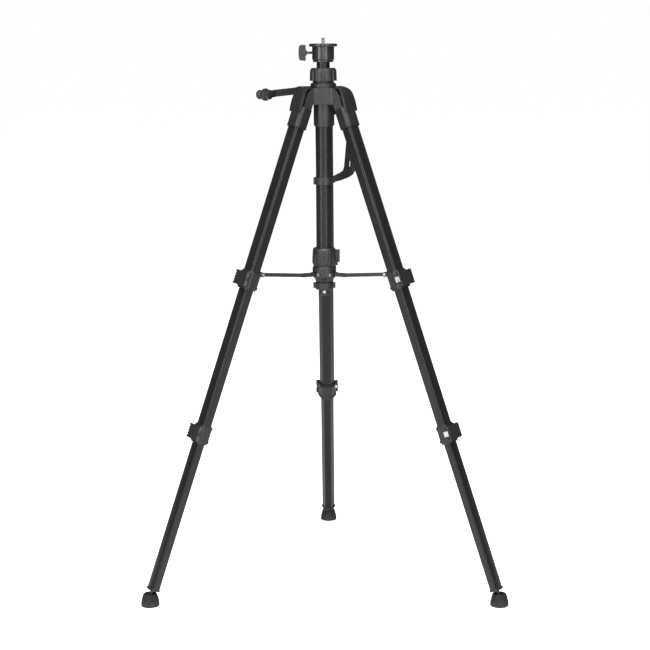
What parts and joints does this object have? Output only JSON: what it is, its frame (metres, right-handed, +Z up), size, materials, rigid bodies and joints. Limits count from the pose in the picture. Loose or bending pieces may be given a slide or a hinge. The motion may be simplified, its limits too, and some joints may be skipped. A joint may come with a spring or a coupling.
{
  "type": "laser level tripod",
  "caption": "Elevating tripod for a laser level: geared centre column with crank, telescoping flip-lock legs, braced spreader hub, rubber feet and a quarter-inch stud.",
  "frame": {"origin": "on the ground, at the centre of the footprint's bounding box", "axes": "+Z up along the centre column; -Y toward the viewer, with two legs in front and the rear leg at +Y; +X to the right"},
  "size_m": [0.6894, 0.6016, 1.0506],
  "materials": {
    "moulding": "matte black glass-filled nylon, fine moulded texture",
    "grip": "matte black nylon, fluted for grip",
    "lever_nylon": "satin black nylon",
    "rack_nylon": "black acetal",
    "black_anodised": "satin black anodised extrusion",
    "head_metal": "turned, satin black anodised",
    "black_steel": "semi-gloss black paint on steel",
    "bright_steel": "nickel-plated, satin",
    "stud_metal": "nickel-plated thread",
    "foot_rubber": "matte grey-black rubber"
  },
  "bodies": {
    "crown": {"crown": "moulding", "crown_collar": "moulding", "column_collet": "moulding", "guide_tube": "black_anodised", "guide_end_cap": "moulding", "carry_handle": "moulding", "leg_pivot_pins": "black_steel"},
    "column": {"column_tube": "black_anodised", "column_rack": "rack_nylon", "column_end_plug": "moulding", "column_stop_screw": "bright_steel"},
    "crank": {"crank_shaft": "bright_steel", "crank_arm": "black_steel"},
    "crank_knob": {"crank_knob": "grip"},
    "lock_nut": {"column_lock_nut": "grip"},
    "head": {"head_cup": "head_metal", "stud": "stud_metal"},
    "wing_knob": {"wing_knob": "grip"},
    "hub": {"hub_body": "moulding", "hub_rivets": "bright_steel"},
    "hub_ring": {"hub_lock_ring": "grip"},
    "left_leg": {"left_bracket": "moulding", "left_upper_tube": "black_anodised", "left_upper_collar": "moulding", "left_upper_hardware": "bright_steel"},
    "left_upper_lever": {"left_upper_lever": "lever_nylon"},
    "left_middle": {"left_middle_tube": "black_anodised", "left_lower_collar": "moulding", "left_lower_hardware": "bright_steel"},
    "left_lower_lever": {"left_lower_lever": "lever_nylon"},
    "left_lower": {"left_lower_tube": "black_anodised", "left_end_plug": "moulding"},
    "left_foot": {"left_foot": "foot_rubber"},
    "left_brace": {"left_brace": "black_steel"},
    "right_leg": {"right_bracket": "moulding", "right_upper_tube": "black_anodised", "right_upper_collar": "moulding", "right_upper_hardware": "bright_steel"},
    "right_upper_lever": {"right_upper_lever": "lever_nylon"},
    "right_middle": {"right_middle_tube": "black_anodised", "right_lower_collar": "moulding", "right_lower_hardware": "bright_steel"},
    "right_lower_lever": {"right_lower_lever": "lever_nylon"},
    "right_lower": {"right_lower_tube": "black_anodised", "right_end_plug": "moulding"},
    "right_foot": {"right_foot": "foot_rubber"},
    "right_brace": {"right_brace": "black_steel"},
    "rear_leg": {"rear_bracket": "moulding", "rear_upper_tube": "black_anodised", "rear_upper_collar": "moulding", "rear_upper_hardware": "bright_steel"},
    "rear_upper_lever": {"rear_upper_lever": "lever_nylon"},
    "rear_middle": {"rear_middle_tube": "black_anodised", "rear_lower_collar": "moulding", "rear_lower_hardware": "bright_steel"},
    "rear_lower_lever": {"rear_lower_lever": "lever_nylon"},
    "rear_lower": {"rear_lower_tube": "black_anodised", "rear_end_plug": "moulding"},
    "rear_foot": {"rear_foot": "foot_rubber"},
    "rear_brace": {"rear_brace": "black_steel"}
  },
  "joints": [
    {"name": "column_lift", "type": "slide", "parent": "crown", "child": "column", "axis": [0, 0, 1], "range_m": [0, 0.24]},
    {"name": "crank_turn", "type": "hinge", "parent": "crown", "child": "crank", "pos_m": [0.00845, -0.07985, 0.9484], "axis": [-0.866, 0.5, 0], "range_deg": [0, 1965]},
    {"name": "crank_knob_spin", "type": "hinge", "parent": "crank", "child": "crank_knob", "pos_m": [-0.11219, -0.10479, 0.94482], "axis": [-0.866, 0.5, 0], "continuous": true},
    {"name": "column_lock", "type": "hinge", "parent": "crown", "child": "lock_nut", "pos_m": [0, -0.09448, 0.982], "axis": [0, 0, 1], "range_deg": [0, 120]},
    {"name": "head_pan", "type": "hinge", "parent": "column", "child": "head", "pos_m": [0, -0.09448, 1.02], "axis": [0, 0, 1], "continuous": true},
    {"name": "wing_knob_turn", "type": "hinge", "parent": "head", "child": "wing_knob", "pos_m": [-0.03, -0.09448, 1.0224], "axis": [-1, 0, 0], "range_deg": [0, 720]},
    {"name": "hub_slide", "type": "slide", "parent": "crown", "child": "hub", "axis": [0, 0, 1], "range_m": [0, 0.0831]},
    {"name": "hub_ring_turn", "type": "hinge", "parent": "hub", "child": "hub_ring", "pos_m": [0, -0.09448, 0.63], "axis": [0, 0, 1], "range_deg": [0, 90]},
    {"name": "left_fold", "type": "hinge", "parent": "crown", "child": "left_leg", "pos_m": [-0.03291, -0.11348, 0.927], "axis": [0.5, -0.866, 0], "range_deg": [0, 14]},
    {"name": "left_upper_lever_open", "type": "hinge", "parent": "left_leg", "child": "left_upper_lever", "pos_m": [-0.1427, -0.20135, 0.60679], "axis": [0.2983, 0.1722, 0.9388], "range_deg": [0, 100]},
    {"name": "left_middle_slide", "type": "slide", "parent": "left_leg", "child": "left_middle", "axis": [0.2983, 0.1722, 0.9388], "range_m": [0, 0.25]},
    {"name": "left_lower_lever_open", "type": "hinge", "parent": "left_middle", "child": "left_lower_lever", "pos_m": [-0.23238, -0.25105, 0.32218], "axis": [0.2983, 0.1722, 0.9388], "range_deg": [0, 100]},
    {"name": "left_lower_slide", "type": "slide", "parent": "left_middle", "child": "left_lower", "axis": [0.2983, 0.1722, 0.9388], "range_m": [0, 0.25]},
    {"name": "left_foot_tilt", "type": "hinge", "parent": "left_lower", "child": "left_foot", "pos_m": [-0.32729, -0.28344, 0.016], "axis": [0.5, -0.866, 0], "range_deg": [-20, 15]},
    {"name": "left_brace_swing", "type": "hinge", "parent": "left_leg", "child": "left_brace", "pos_m": [-0.11674, -0.16188, 0.6095], "axis": [0.5, -0.866, 0], "range_deg": [0, 74.9]},
    {"name": "right_fold", "type": "hinge", "parent": "crown", "child": "right_leg", "pos_m": [0.03291, -0.11348, 0.927], "axis": [0.5, 0.866, 0], "range_deg": [0, 14]},
    {"name": "right_upper_lever_open", "type": "hinge", "parent": "right_leg", "child": "right_upper_lever", "pos_m": [0.1639, -0.16463, 0.60679], "axis": [-0.2983, 0.1722, 0.9388], "range_deg": [0, 100]},
    {"name": "right_middle_slide", "type": "slide", "parent": "right_leg", "child": "right_middle", "axis": [-0.2983, 0.1722, 0.9388], "range_m": [0, 0.25]},
    {"name": "right_lower_lever_open", "type": "hinge", "parent": "right_middle", "child": "right_lower_lever", "pos_m": [0.25178, -0.21745, 0.32218], "axis": [-0.2983, 0.1722, 0.9388], "range_deg": [0, 100]},
    {"name": "right_lower_slide", "type": "slide", "parent": "right_middle", "child": "right_lower", "axis": [-0.2983, 0.1722, 0.9388], "range_m": [0, 0.25]},
    {"name": "right_foot_tilt", "type": "hinge", "parent": "right_lower", "child": "right_foot", "pos_m": [0.32729, -0.28344, 0.016], "axis": [0.5, 0.866, 0], "range_deg": [-20, 15]},
    {"name": "right_brace_swing", "type": "hinge", "parent": "right_leg", "child": "right_brace", "pos_m": [0.11674, -0.16188, 0.6095], "axis": [0.5, 0.866, 0], "range_deg": [0, 74.9]},
    {"name": "rear_fold", "type": "hinge", "parent": "crown", "child": "rear_leg", "pos_m": [0, -0.05648, 0.927], "axis": [-1, 0, 0], "range_deg": [0, 14]},
    {"name": "rear_upper_lever_open", "type": "hinge", "parent": "rear_leg", "child": "rear_upper_lever", "pos_m": [-0.0212, 0.08253, 0.60679], "axis": [0, -0.3445, 0.9388], "range_deg": [0, 100]},
    {"name": "rear_middle_slide", "type": "slide", "parent": "rear_leg", "child": "rear_middle", "axis": [0, -0.3445, 0.9388], "range_m": [0, 0.25]},
    {"name": "rear_lower_lever_open", "type": "hinge", "parent": "rear_middle", "child": "rear_lower_lever", "pos_m": [-0.0194, 0.18505, 0.32218], "axis": [0, -0.3445, 0.9388], "range_deg": [0, 100]},
    {"name": "rear_lower_slide", "type": "slide", "parent": "rear_middle", "child": "rear_lower", "axis": [0, -0.3445, 0.9388], "range_m": [0, 0.25]},
    {"name": "rear_foot_tilt", "type": "hinge", "parent": "rear_lower", "child": "rear_foot", "pos_m": [0, 0.28344, 0.016], "axis": [-1, 0, 0], "range_deg": [-20, 15]},
    {"name": "rear_brace_swing", "type": "hinge", "parent": "rear_leg", "child": "rear_brace", "pos_m": [0, 0.04032, 0.6095], "axis": [-1, 0, 0], "range_deg": [0, 74.9]}
  ],
  "couplings": [
    {"joint": "crank_turn", "follows": "column_lift", "rad_per_m": 142.86},
    {"joint": "hub_slide", "follows": "left_fold", "m_per_rad": 0.33809},
    {"joint": "left_brace_swing", "follows": "left_fold", "ratio": 5.3316},
    {"joint": "right_fold", "follows": "left_fold", "ratio": 1},
    {"joint": "right_brace_swing", "follows": "left_fold", "ratio": 5.3316},
    {"joint": "rear_fold", "follows": "left_fold", "ratio": 1},
    {"joint": "rear_brace_swing", "follows": "left_fold", "ratio": 5.3316}
  ]
}
